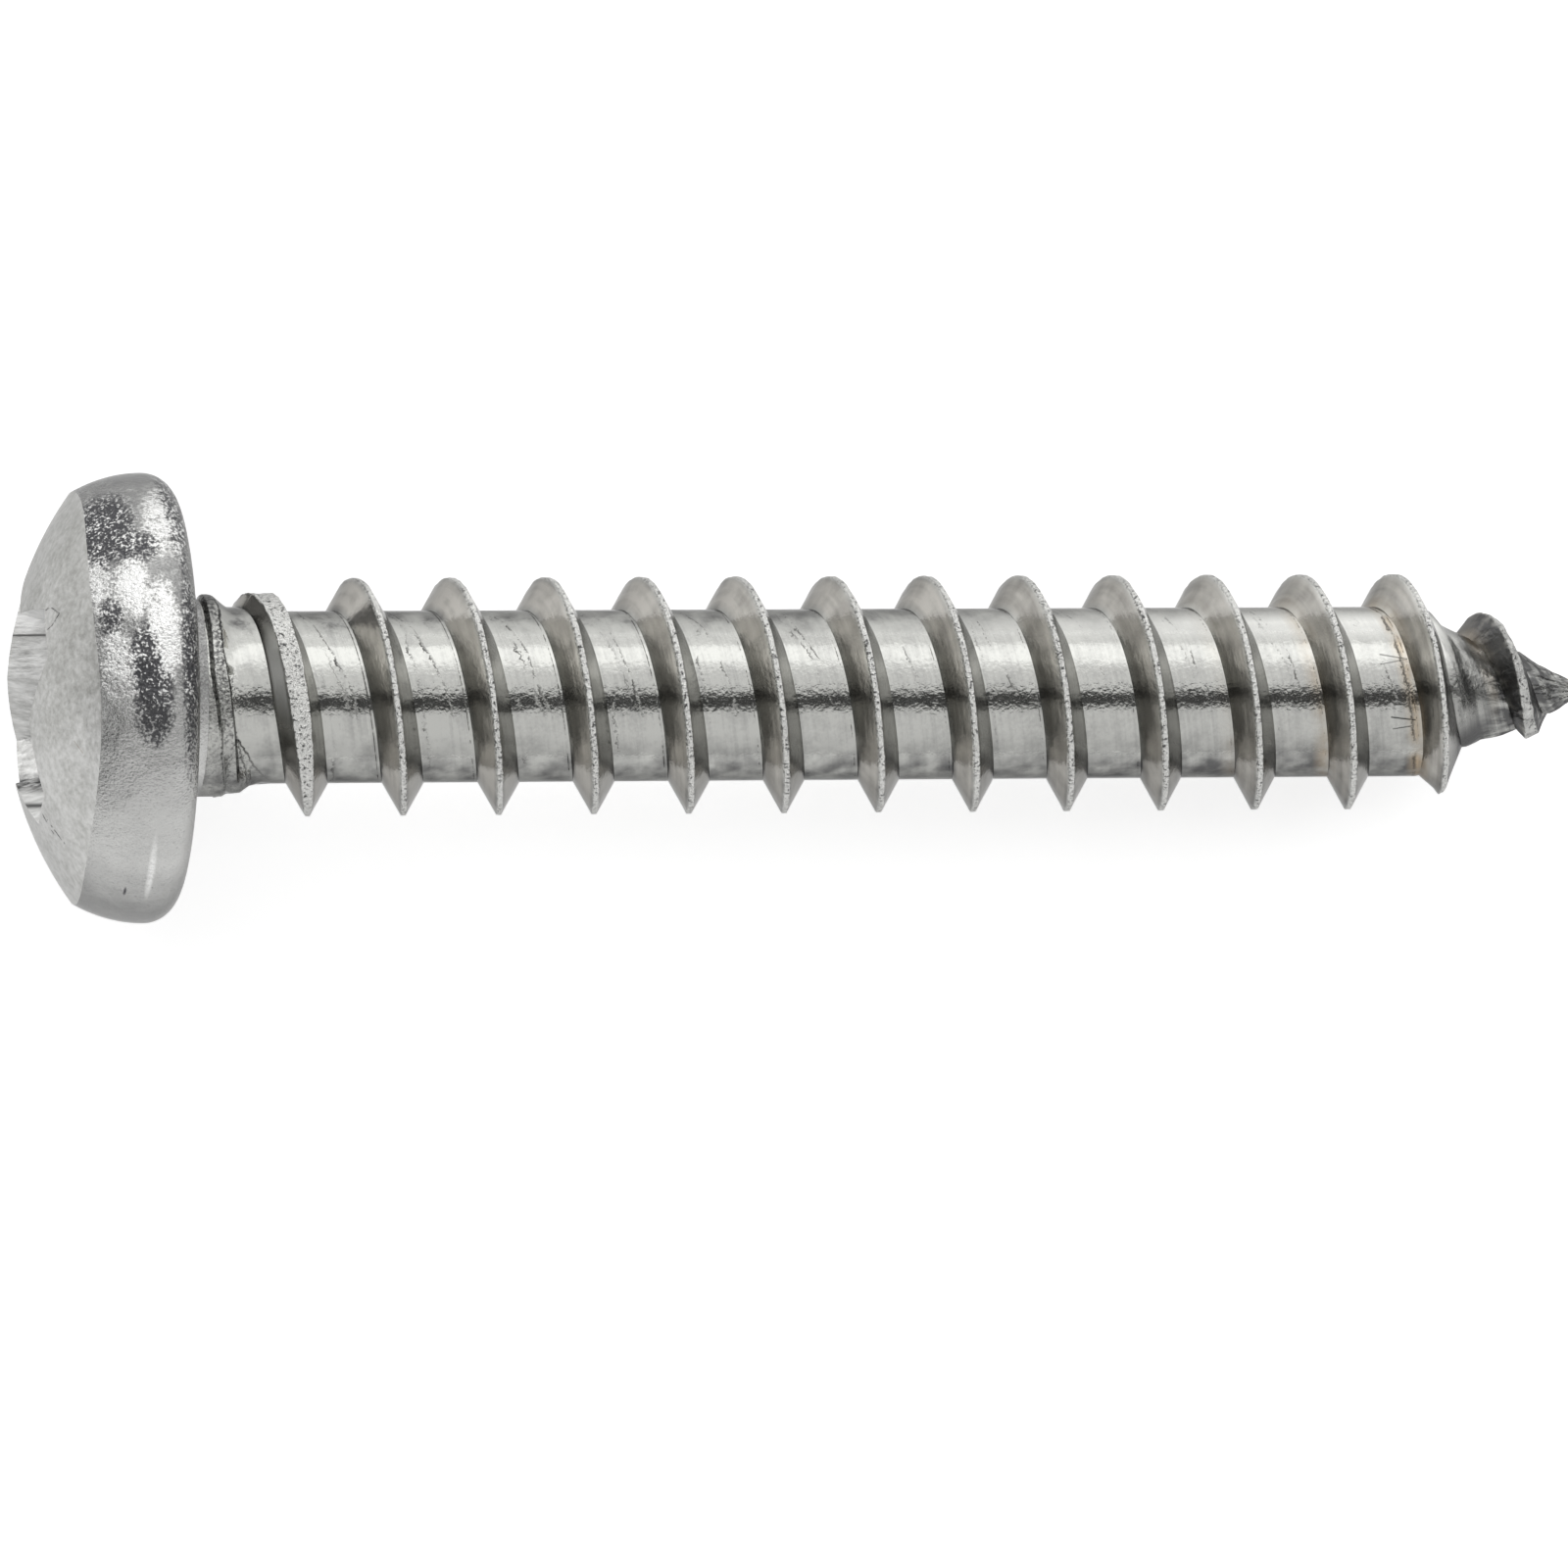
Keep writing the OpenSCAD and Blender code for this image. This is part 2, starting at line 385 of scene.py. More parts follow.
def dome_edge(degrees):
    """Radius of the dome's edge, which runs a little out of true, for an angle from the screw's top."""
    high = soft_step(1 - abs(degrees - 34) / 42)
    low = soft_step(1 - abs(degrees + 52) / 45)
    return dome_edge_r - 0.045 - 0.13 * high - 0.1 * low


mouth_z = dome_z(recess_reach)


def punch_radius(from_wing, z):
    """Radius and angle of the recess at a distance z, for an angle from the nearest wing's middle."""
    share = (z - mouth_z) / (recess_floor_z - mouth_z)
    reach = recess_reach - (z - mouth_z) * wing_tan
    half = wing_half_w + (wing_floor_half_w - wing_half_w) * share
    core = (core_r + (core_floor_r - core_r) * share) * math.sqrt(0.5)
    end_angle = math.atan2(half, reach)
    column_angle = 2 * math.pi / head_columns * wing_columns
    turn = abs(from_wing)
    if turn <= column_angle:
        turn = turn / column_angle * end_angle
        radius = reach / math.cos(turn)
    else:
        past_end = (turn - column_angle) / (math.pi / 4 - column_angle)
        turn = end_angle + past_end * (math.pi / 4 - end_angle)
        slant = (core - half) * math.cos(turn) - (core - reach) * math.sin(turn)
        radius = core * (reach - half) / slant
    return radius, math.copysign(turn, from_wing)


disc_rings = floor_rings + wall_rings + dome_rings
rim_run = rim_h - corner_r
rim_drop = head_r - dome_edge_r
rim_r = (rim_run**2 + rim_drop**2) / (2 * rim_drop)
rim_angle = math.asin(rim_run / rim_r)
face_r = head_r - corner_r
fillet_r = fillet_face_r - neck_r
outline = [(dome_edge_r * ring / disc_rings, -rim_h) for ring in range(disc_rings + 1)]
for step in range(1, rim_steps + 1):
    bend = rim_angle * (1 - step / rim_steps)
    outline.append((head_r - rim_r + rim_r * math.cos(bend), -corner_r - rim_r * math.sin(bend)))
for step in range(1, corner_steps + 1):
    bend = math.pi / 2 * step / corner_steps
    outline.append((face_r + corner_r * math.cos(bend), -corner_r + corner_r * math.sin(bend)))
outline += [(blend(face_r, fillet_face_r, share), 0.0) for share in (1 / 3, 2 / 3)]
for step in range(fillet_steps + 1):
    bend = math.pi / 2 * step / fillet_steps
    outline.append((fillet_face_r - fillet_r * math.sin(bend), fillet_r * (1 - math.cos(bend))))
outline.append((neck_r, (fillet_r + join_z) / 2))
outline.append((blank_r, join_z))

head = bmesh.new()
spun(
    head,
    [(radius * math.cos(recess_turn), radius * math.sin(recess_turn), z) for radius, z in outline],
    2 * math.pi,
    head_columns,
)
bmesh.ops.remove_doubles(head, verts=head.verts[:], dist=1e-5)
for vert in head.verts:
    flat_r = math.hypot(vert.co.x, vert.co.y)
    ring = round(flat_r / dome_edge_r * disc_rings)
    angle = math.atan2(vert.co.y, vert.co.x)
    edge_out = dome_edge(180 - math.degrees(angle) % 360)
    if vert.co.z > -rim_h + 1e-4 or ring > disc_rings:
        share = min(1.0, max(0.0, (-corner_r - vert.co.z) / rim_run)) ** 2
        grown = 1 + (edge_out - dome_edge_r) * share / flat_r
        sunk = (dome_z(edge_out) + rim_h) * share
        vert.co = (vert.co.x * grown, vert.co.y * grown, vert.co.z + sunk)
        continue
    quarter = math.pi / 2
    from_wing = (angle - recess_turn + quarter / 2) % quarter - quarter / 2
    wing_angle = angle - from_wing
    if ring <= floor_rings:
        radius, turn = punch_radius(from_wing, recess_floor_z)
        radius *= ring / floor_rings
        z = recess_floor_z + recess_cone_h * (1 - ring / floor_rings)
    else:
        edge_z = mouth_z
        for _ in range(6):
            edge_r, turn = punch_radius(from_wing, edge_z)
            edge_z = dome_z(edge_r)
        up_wall = (ring - floor_rings) / wall_rings
        if up_wall <= 1:
            z = blend(recess_floor_z, edge_z, up_wall)
            radius, turn = punch_radius(from_wing, z)
        else:
            out = (ring - floor_rings - wall_rings) / dome_rings
            radius = blend(edge_r, edge_out, out)
            turn = blend(turn, from_wing, out)
            z = dome_z(radius)
    vert.co = (radius * math.cos(wing_angle + turn), radius * math.sin(wing_angle + turn), z)

# The head joins the thread at the neck, and each face gets the finish of its part of the screw.
head_mesh = bpy.data.meshes.new("head")
head.to_mesh(head_mesh)
head.free()
for face in screw.faces:
    face.material_index = thread_slot
screw.from_mesh(head_mesh)
bpy.data.meshes.remove(head_mesh)
for face in screw.faces:
    if face.material_index == thread_slot:
        continue
    centre = face.calc_center_median()
    radius = math.hypot(centre.x, centre.y)
    if radius > recess_reach + 0.1:
        edge_out = dome_edge(180 - math.degrees(math.atan2(centre.y, centre.x)) % 360)
        off_dome = centre.z > dome_z(min(radius, edge_out)) + 0.004 or radius > edge_out
        face.material_index = rim_slot if off_dome else dome_slot
    elif centre.z > -0.02:
        face.material_index = rim_slot
    elif centre.z > dome_z(radius) + 0.02:
        face.material_index = recess_slot
neck_edges = [
    edge for edge in screw.edges if edge.is_boundary and abs(edge.verts[0].co.z - join_z) < 0.05
]
bmesh.ops.bridge_loops(screw, edges=neck_edges)
bmesh.ops.dissolve_degenerate(screw, dist=1e-4, edges=screw.edges[:])
bmesh.ops.recalc_face_normals(screw, faces=screw.faces[:])
for face in screw.faces:
    face.smooth = True
for edge in screw.edges:
    slots = {face.material_index for face in edge.link_faces}
    edge.smooth = edge.calc_face_angle(0.0) < sharp_angle and slots != {dome_slot, rim_slot}
bmesh.ops.transform(screw, matrix=lie, verts=screw.verts[:])
screw_mesh = bpy.data.meshes.new("sheet_metal_screw")
screw.to_mesh(screw_mesh)
screw.free()
piece = bpy.data.objects.new("sheet_metal_screw", screw_mesh)
bpy.context.scene.collection.objects.link(piece)


# Finishes. The steel is bare all over. Tumbling leaves the dome satin and the rim rough, the punch
# draws fine lines down the recess, and the dies leave the thread smooth, with torn crests and with
# cracks where the metal folds. Their patterns are laid out in millimetres along and round the screw.
class Wire:
    """A socket of a finish, with the sums that are used on it."""

    def __init__(self, tree, socket=None):
        self.tree = tree
        self.socket = socket

    def node(self, kind, settings=(), sockets=(), output=0):
        """Adds a node: its settings first, then the values or links of its sockets."""
        made = self.tree.nodes.new(kind)
        for name, value in dict(settings).items():
            setattr(made, name, value)
        for name, value in dict(sockets).items():
            if isinstance(value, Wire):
                self.tree.links.new(value.socket, made.inputs[name])
            else:
                made.inputs[name].default_value = value
        return Wire(self.tree, made.outputs[output]) if made.outputs else None

    def maths(self, operation, first, second=0.0):
        return self.node("ShaderNodeMath", {"operation": operation}, {0: first, 1: second})

    def __add__(self, other):
        return self.maths("ADD", self, other)

    __radd__ = __add__

    def __sub__(self, other):
        return self.maths("SUBTRACT", self, other)

    def __rsub__(self, other):
        return self.maths("SUBTRACT", other, self)

    def __mul__(self, other):
        return self.maths("MULTIPLY", self, other)

    __rmul__ = __mul__

    def __truediv__(self, other):
        return self.maths("DIVIDE", self, other)

    def __lt__(self, other):
        return self.maths("LESS_THAN", self, other)

    def __gt__(self, other):
        return self.maths("GREATER_THAN", self, other)

    def at_least(self, least):
        return self.maths("MAXIMUM", self, least)

    def clamped(self):
        return self.node("ShaderNodeClamp", {}, {0: self})


class Finish:
    """A bare metal: its tree, and the places on the screw that its patterns are laid out by."""

    def __init__(self, name):
        self.material = bpy.data.materials.new(name)
        self.material.use_nodes = True
        self.material.node_tree.nodes.clear()
        self.wire = Wire(self.material.node_tree)
        self.local = self.wire.node(
            "ShaderNodeMapping",
            {"vector_type": "TEXTURE"},
            {
                "Vector": self.wire.node("ShaderNodeTexCoord", output=3),
                "Location": face_centre,
                "Rotation": (0, axis_turn, 0),
                "Scale": (MM, MM, MM),
            },
        )
        self.x, self.y, self.z = (
            self.wire.node("ShaderNodeSeparateXYZ", {}, {0: self.local}, output) for output in range(3)
        )
        self.from_top = self.wire.maths("ARCTAN2", self.y, self.x * -1.0)

    def speckle(self, per_mm, detail=3.0, stretch=(1, 1, 1), place=None, roughness=0.5):
        """An even random pattern from -1 to 1 or so, with so many grains to a millimetre."""
        grid = self.wire.node("ShaderNodeMapping", {}, {"Vector": place or self.local, "Scale": stretch})
        sockets = {"Vector": grid, "Scale": per_mm, "Detail": detail, "Roughness": roughness}
        return (self.wire.node("ShaderNodeTexNoise", {}, sockets) - 0.5) * 4.0

    def line(self, distance, half_w):
        """A soft line where distance is nought."""
        return (1.0 - self.wire.maths("ABSOLUTE", distance) / half_w).clamped()

    def spot(self, degrees, z, half_degrees, half_l):
        """A soft patch round a place, given by the angle from the screw's top and the place along it."""
        across = (self.from_top - math.radians(degrees)) / math.radians(half_degrees)
        beside = (self.z - z) / half_l
        return (1.0 - across * across - beside * beside).clamped()

    def spots(self, *rows):
        """Soft patches added up. A row is a patch and its strength."""
        return sum(self.spot(*patch) * strength for *patch, strength in rows)

    def stroke(self, off, run, half_w):
        """A line with two ends, by the distances from its start and by its run, both in two directions."""
        run_l = math.hypot(*run)
        gone = (off[0] * run[0] + off[1] * run[1]) / run_l
        aside = (off[0] * run[1] - off[1] * run[0]) / run_l
        return self.line(aside, half_w) * (gone > 0.0) * (gone < run_l)

    def scratch(self, start, end, half_w):
        """A line between two places on the head, given by x and y."""
        off = (self.x - start[0], self.y - start[1])
        return self.stroke(off, (end[0] - start[0], end[1] - start[1]), half_w)

    def crack(self, start, end, half_w):
        """A line between two places on the root of the thread, given by angle from the top and z."""
        off = ((self.from_top - math.radians(start[0])) * root_r, self.z - start[1])
        run = (math.radians(end[0] - start[0]) * root_r, end[1] - start[1])
        return self.stroke(off, run, half_w)

    def mark(self, name):
        return self.wire.node("ShaderNodeAttribute", {"attribute_name": name}, output=2)

    def mixed(self, share, under, over):
        sockets = {"Factor": share, 6: under, 7: over}
        return self.wire.node("ShaderNodeMix", {"data_type": "RGBA"}, sockets, output=2)

    def done(self, colour, roughness, relief, edge):
        """Ends the finish: relief is in millimetres, and edge is the level at grazing angles."""
        bump = self.wire.node("ShaderNodeBump", {}, {"Height": relief, "Strength": 1.0, "Distance": MM})
        shader = self.wire.node(
            "ShaderNodeBsdfPrincipled",
            {},
            {
                "Base Color": colour,
                "Metallic": 1.0,
                "Roughness": roughness,
                "Specular Tint": (edge, edge, edge, 1.0),
                "Normal": bump,
            },
        )
        self.wire.node("ShaderNodeOutputMaterial", {}, {"Surface": shader})
        piece.data.materials.append(self.material)


# The dome is satin with painted shade towards its high side, torn burrs past two wings and a brown
# scratch.
pale_satin = (0.53, 0.53, 0.52, 1.0)
dull_satin_and_shade = (0.3, 0.3, 0.285, 1.0)
brown_scratch = (0.2, 0.15, 0.1, 1.0)
burr_black = (0.05, 0.05, 0.05, 1.0)
burr_lines = (
    ((-1.45, 1.42), (-1.92, 1.565), 0.022),
    ((-1.92, 1.565), (-2.28, 1.445), 0.02),
    ((-2.28, 1.445), (-2.13, 1.24), 0.018),
    ((-2.13, 1.24), (-1.92, 1.137), 0.014),
    ((-1.14, -1.94), (-1.34, -2.35), 0.022),
    ((-1.3, -2.1), (-1.63, -2.52), 0.018),
)

dome = Finish("dome_steel")
cloud = dome.speckle(1.3, 5.0, roughness=0.6)
dust = dome.speckle(9, 4.0, roughness=0.65)
# Painted shade: the dome is drawn darker towards its high side, mixed in with its mottle.
painted_dome_shade = ((dome.y + 1.2) * 0.7).clamped() * 0.34
mottle_and_painted_shade = (dust * 0.5 + cloud * 0.35 + painted_dome_shade + 0.28).clamped()
burr = sum(dome.scratch(*ends) for ends in burr_lines).clamped() * (dust * 3.0 + 0.4).clamped()
scratched = dome.scratch((-2.9, -0.744), (-3.08, -0.966), 0.014)
plain_dome = dome.mixed(mottle_and_painted_shade, pale_satin, dull_satin_and_shade)
scratched_dome = dome.mixed(scratched * 0.6, plain_dome, brown_scratch)
dome.done(
    dome.mixed(burr * 0.85, scratched_dome, burr_black),
    (dome.speckle(5) * 0.05 + 0.34).clamped(),
    dome.speckle(12) * 0.0012 + dome.speckle(4) * 0.0014 + cloud * 0.006 - burr * 0.015,
    0.7,
)

# The rim's rough skin is crossed by fine bright scratches, lit as painted highlights, which gather in
# patches on its high side, with painted shade in the dark patches between them and on its far edges.
rim_pale = (0.47, 0.47, 0.46, 1.0)
rim_dull_and_shade = (0.12, 0.12, 0.12, 1.0)
rim_bright = (0.85, 0.85, 0.84, 1.0)
rim_black = (0.045, 0.045, 0.05, 1.0)

rim = Finish("rim_steel")
skin = rim.speckle(19, 3.0, roughness=0.6)
wrinkles = rim.speckle(6, 2.0)
rim_cloud = rim.speckle(1.6, 4.0)
# Painted shade: dark patches on the rim, broken by the skin into fine lighter lines.
shade = rim.spots(
    (54, -1.5, 19, 0.62, 1.2),
    (66, -0.25, 34, 0.26, 0.9),
    (10, -1.0, 11, 0.3, 1.0),
    (-2, -0.85, 13, 0.42, 1.2),
    (22, -1.55, 7, 0.25, 0.8),
    (42, -0.95, 7, 0.4, 0.7),
    (6, -0.2, 36, 0.2, 0.9),
)
# Painted highlights: glare patches, and the skin's scratches lit within them, make the rim paler.
glare = rim.spots(
    (30, -1.156, 11, 0.36, 1.0),
    (17, -0.65, 17, 0.34, 1.0),
    (33, -1.68, 11, 0.25, 0.7),
    (6, -1.45, 20, 0.36, 0.6),
    (52, -0.5, 17, 0.42, 0.7),
)
nick = rim.spot(-60.8, -1.115, 2.6, 0.03)
# Painted highlight: one short light streak low on the rim.
painted_light_streak = rim.spot(-50, -0.74, 14, 0.075) * (skin * 0.5 + 0.8).clamped()
upper_half = ((rim.from_top + 0.1) * 5.0).clamped()
# Painted shade: the rim's far edges, high and low, and its upper half between glare patches are drawn
# duller; the specks and cloud are its real tone.
far_high = ((rim.from_top - 1.15) * 3.0).clamped()
far_low = ((rim.from_top * -1.0 - 0.85) * 3.0).clamped()
shadow = (shade * 1.5 - 0.3 - (skin * 2.4 + wrinkles * 0.8) * (shade * 0.8 + 0.1)).clamped()
glitter = (skin * 1.3 + wrinkles * 0.6) * (glare * 0.5 + shade * 0.9 + 0.4)
painted_glare_on_skin = (glare * 1.5 + glitter).clamped()
specks = (skin * 0.9 - 0.25).clamped() * 0.45
dulled_and_painted_shade = upper_half * (0.55 - painted_glare_on_skin) + (far_high * 0.3 + far_low * 0.52) + specks + rim_cloud * 0.1
lit = painted_light_streak.clamped() * 0.6 + upper_half * (painted_glare_on_skin * 1.2 - 0.5)
bare_rim = rim.mixed((dulled_and_painted_shade + 0.05).clamped(), rim_pale, rim_dull_and_shade)
lit_rim = rim.mixed(lit.clamped(), bare_rim, rim_bright)
skin_relief = skin * (upper_half * 0.0035 + 0.0055) + wrinkles * (upper_half * 0.003 + 0.003)
rim.done(
    rim.mixed((shadow * 0.9 + nick).clamped(), lit_rim, rim_black),
    0.17,
    skin_relief + rim.speckle(1.3, 1.0) * 0.02,
    0.6,
)

# The punch draws the metal down, so fine lines run into the recess. Near the mouth some walls carry
# painted shade, and one a painted highlight.
drawn_pale = (0.64, 0.64, 0.63, 1.0)
drawn_dull = (0.26, 0.26, 0.25, 1.0)
wall_bright = (0.92, 0.92, 0.91, 1.0)
wall_black = (0.05, 0.05, 0.05, 1.0)

punched = Finish("recess_steel")
draw_lines = punched.speckle(10, 3.0, (1, 1, 0.06), roughness=0.65)
near_mouth = ((punched.z * -1.0 - 1.3) * 2.5).clamped()
# Painted shade: dark bands on the recess walls near the mouth.
painted_wall_shade = near_mouth * (
    punched.line(punched.y + 1.47, 0.2) * (draw_lines * 0.9 + 1.0)
    + punched.line(punched.y + 1.86, 0.07)
    + punched.line(punched.y - 1.12, 0.03)
)
# Painted highlight: one wall near the mouth is drawn bright.
painted_wall_highlight = punched.line(punched.y - 1.42, 0.3) * near_mouth
drawn = punched.mixed((draw_lines * 0.5 + 0.4).clamped(), drawn_pale, drawn_dull)
lit_wall = punched.mixed((painted_wall_highlight * (1.2 - draw_lines * 0.6)).clamped(), drawn, wall_bright)
punched.done(
    punched.mixed(painted_wall_shade.clamped(), lit_wall, wall_black),
    (painted_wall_highlight * 0.2 + 0.28).clamped(),
    draw_lines * 0.002 + punched.speckle(5) * 0.002,
    0.7,
)

# The thread's patterns follow it round: helix counts the turns of the ridge, and past_crest is the
# distance along the screw from the crest before. Streaks run with the ridge, as the dies slide.
root_pale = (0.455, 0.457, 0.435, 1.0)
root_dull = (0.3, 0.3, 0.29, 1.0)
flank_pale = (0.455, 0.44, 0.41, 1.0)
flank_dull_and_shade = (0.22, 0.212, 0.197, 1.0)
flank_lit = (0.62, 0.615, 0.59, 1.0)
first_flank_lit = (0.72, 0.72, 0.7, 1.0)
crest_highlight = (0.66, 0.66, 0.64, 1.0)
glint_pale = (0.78, 0.78, 0.75, 1.0)
dull_and_shade_black = (0.1, 0.1, 0.1, 1.0)
pit_and_shade_black = (0.09, 0.09, 0.09, 1.0)
crack_black = (0.03, 0.03, 0.03, 1.0)
stain_brown = (0.37, 0.29, 0.195, 1.0)
v_cracks = (
    ((25.4, 21.265), (21.8, 21.76), 0.018),
    ((17.9, 21.263), (21.8, 21.76), 0.018),
    ((-17.5, 21.45), (-19.7, 21.9), 0.02),
    ((-26.1, 21.5), (-24.0, 21.84), 0.018),
)

thread = Finish("thread_steel")
helix = (thread.z - first_crest_z) / pitch + 0.25 + thread.from_top / (2 * math.pi)
past_crest = thread.wire.maths("FRACT", helix) * pitch
along = thread.wire.node("ShaderNodeCombineXYZ", {}, {0: thread.x, 1: thread.y, 2: helix * pitch})
streaks = thread.speckle(1, 3.0, (0.5, 0.5, 14), along)
patches = thread.speckle(2.2, 4.0)
grain = thread.speckle(15, 3.0)
drift = thread.speckle(0.8, 1.0)
torn = thread.speckle(16, 3.0, roughness=0.6)
flow = thread.speckle(5, 3.0, (1, 1, 0.3))
crest = ((thread.mark("crest") - 0.65) * 3.0).clamped()
flank = (thread.mark("flank") * 1.2).clamped()
land = (1.0 - crest - flank).clamped()
degrees = thread.from_top * (180 / math.pi)
top_half = ((thread.from_top + 0.3) * 3.0).clamped()
early = (1.2 - thread.z * 0.09).clamped()
to_tip = ((thread.z - 12.0) * 0.12).clamped()
point = ((thread.z - 22.3) / 0.7).clamped()
cone = ((thread.z - 23.1) / 0.5).clamped()

# The skin cracks along the two folds of the neck's lip, and along a seam in each groove, most of all
# in the first turns. The upper fold tears away from its line on the low side.
wander = patches * 0.045 + torn * 0.03
lower_fold = (lower_slant_from - degrees).at_least(0.0) * lower_fold_slant + lower_fold_z
upper_fold = (upper_slant_from - degrees).at_least(0.0) * upper_fold_slant + upper_fold_z
below = (degrees * -1.0 - 28.0).at_least(0.0)
torn_fold = upper_fold + below * 0.012
inner_fold = upper_fold + below * 0.004
lip_area = ((thread.from_top + 1.4) * 4.0).clamped() * (2.6 - thread.z * 1.5).clamped()
behind_ridge = (helix < 1.0) * (1.0 - flank)
folds = lip_area * behind_ridge * (
    thread.line(thread.z - lower_fold + wander * 0.5, 0.026) * (torn * 0.5 + 0.65).clamped()
    + thread.line(thread.z - torn_fold + wander, 0.035)
    + thread.line(thread.z - inner_fold + wander, 0.02) * 0.6
).clamped()
neck_skin = (lower_fold > thread.z) * behind_ridge
lip_skin = lip_area * behind_ridge * (
    ((thread.z - lower_fold) * 20.0).clamped() * ((torn_fold - thread.z) * 20.0).clamped()
)
broken = (patches * 1.0 + torn * 0.8 + early * 0.9 - 0.2).clamped()
seam_place = past_crest + thread.from_top * 0.3 + wander * 1.5 + drift * 0.1
seams = (
    thread.line(seam_place - 0.98, 0.024) * top_half
    + thread.line(seam_place - 0.86 + torn * 0.03, 0.02) * top_half * (0.4 - drift - torn * 0.5).clamped()
    + thread.line(past_crest - 0.55 + wander * 2.0 + drift * 0.1, 0.024) * (drift + 0.2).clamped()
    + thread.line(past_crest - 1.27, 0.012) * 0.7
).clamped() * land * broken * (helix > 1.0)
splits = sum(thread.crack(*ends) for ends in v_cracks).clamped() * 0.45
last_groove = (helix > 12.0) * (helix < 13.0)
sliver_shown = (patches * 1.2 + torn * 0.6 + 0.5).clamped() * 0.8
sliver = thread.line(past_crest - 1.2 + wander, 0.04) * last_groove * sliver_shown
cracks = (folds + seams + splits + sliver).clamped()

# The root is pale, with painted highlights towards the point and painted shade along its high and low
# edges. The flanks are browner with painted shade where they face the head, and paler lit copies where
# they face the point; the crests are paler as a painted highlight, and pitted. The cone is dull, darker on
# its low edge and top as painted shade, and a brown stain lies in the last grooves.
# Painted shade: the root is drawn darker on its high and low edges, and in patches near the top of its
# early turns.
high_side_shade = ((thread.from_top - 0.76) * 2.5).clamped() * (0.48 - to_tip * 0.48)
low_side_shade = ((thread.from_top * -1.0 - 0.45) * 1.8).clamped() * (to_tip * 0.15 + 0.65) * (1.0 - cone)
patchy_top_shade = thread.line(thread.from_top - 0.98, 0.28) * (patches * 1.4 + torn * 0.6).clamped() * early
# Painted highlight: the root is drawn paler towards the point, most along a band on its high side.
glint = thread.line(thread.from_top - 0.95, 0.32) * to_tip * 0.8 + top_half * to_tip * 0.08
root_dulled = streaks * 0.3 + patches * 0.3 + grain * 0.2 + to_tip * 0.15 + 0.16
sides = (high_side_shade + low_side_shade) * (patches * 0.7 + 1.0) + patchy_top_shade * 0.6
bare = thread.mixed(root_dulled.clamped(), root_pale, root_dull)
glinting = thread.mixed((glint * (streaks * 0.2 + 0.9)).clamped(), bare, glint_pale)
sided = thread.mixed(sides.clamped(), glinting, dull_and_shade_black)

# Painted shade: the flanks that face the head are a darker copy, darkest across a strip round the top; the
# streaks and patches are real wear.
top_strip = thread.line(thread.from_top, 0.9)
flank_wear = streaks * 0.35 + patches * 0.35 + (thread.z - 6.0) * 0.025
flank_wear_and_shade = flank_wear + point * 0.4 + top_strip * 0.3 + 0.12
# Painted light: flanks that face the point, and the first flank, get paler lit copies of the flank colour.
facing_point = flank * (past_crest < 0.8) * (1.0 - low_side_shade * 0.9) * (streaks * 0.2 + 0.95).clamped()
first_strip = thread.line(thread.from_top - 0.25, 0.7)
first_flank = flank * (helix < 1.02) * (past_crest > 0.8) * first_strip
brown = thread.mixed(flank_wear_and_shade.clamped(), flank_pale, flank_dull_and_shade)
with_shaded_flanks = thread.mixed(flank * 0.92, sided, brown)
lit_flank = thread.mixed(facing_point, with_shaded_flanks, flank_lit)
lit_first_flank = thread.mixed((first_flank * 1.6).clamped(), lit_flank, first_flank_lit)

torn_pits = (torn * 2.0 + streaks * 0.2 - 0.3).clamped()
# The torn lip is drawn darker, more so towards its high side: painted shade over the real tears.
lip_tear_and_shade = lip_skin * (torn * 1.2 + (degrees * 0.006 + 0.35).clamped())
neck_dark = neck_skin * (torn * 0.6 + 0.08)
# Painted highlight: the crests are drawn paler than the root; their pits are real.
bright = thread.mixed(crest * 0.92, lit_first_flank, crest_highlight)
pitted = thread.mixed((crest * torn_pits + (lip_tear_and_shade + neck_dark)).clamped(), bright, pit_and_shade_black)

# The point and cone are drawn dull, and darker on the point's low edge and the cone's top as painted
# shade.
point_dull_and_shade = point * (streaks * 0.2 + low_side_shade + 0.42)
cone_dull_and_shade = cone * (flow * 0.5 + flank * 0.25 + top_half * 0.1)
off_crest = 1.0 - crest + cone * 0.6
stained_strip = thread.line(past_crest - 1.24, 0.22).clamped() * (patches * 0.6 + 0.7).clamped()
stain = ((thread.z - 17.5) / 4.5).clamped() * stained_strip * (1.0 - cone)
streaked = thread.mixed(((point_dull_and_shade + cone_dull_and_shade) * off_crest).clamped(), pitted, dull_and_shade_black)
stained = thread.mixed(stain * 0.75, streaked, stain_brown)

folded_skin = lip_skin + neck_skin
rubbed = thread.line(degrees - 6.0, 26.0)
worn = patches * 0.04 + crest * 0.08 + flank * 0.05 + folded_skin * 0.12 + point * 0.14
grain_relief = grain * (rubbed * 0.0018 + folded_skin * 0.004 + 0.0007) * (1.0 - flank * 0.7)
thread.done(
    thread.mixed((cracks * 0.95).clamped(), stained, crack_black),
    (worn + first_flank * 0.5 + 0.14).clamped(),
    grain_relief
    + streaks * 0.001
    + patches * (0.003 + point * 0.004)
    + flow * cone * 0.014
    + crest * torn * 0.018
    - cracks * 0.012,
    0.5,
)
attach(piece, "root")
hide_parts("screw")


# Floor. A plain sheet of white paper under the screw, which keeps the screw's shadow and shows in
# the metal as it shows to the camera.
floor_size = 1.6
paper_white = (0.8, 0.8, 0.8, 1.0)
paper_glow = 0.55

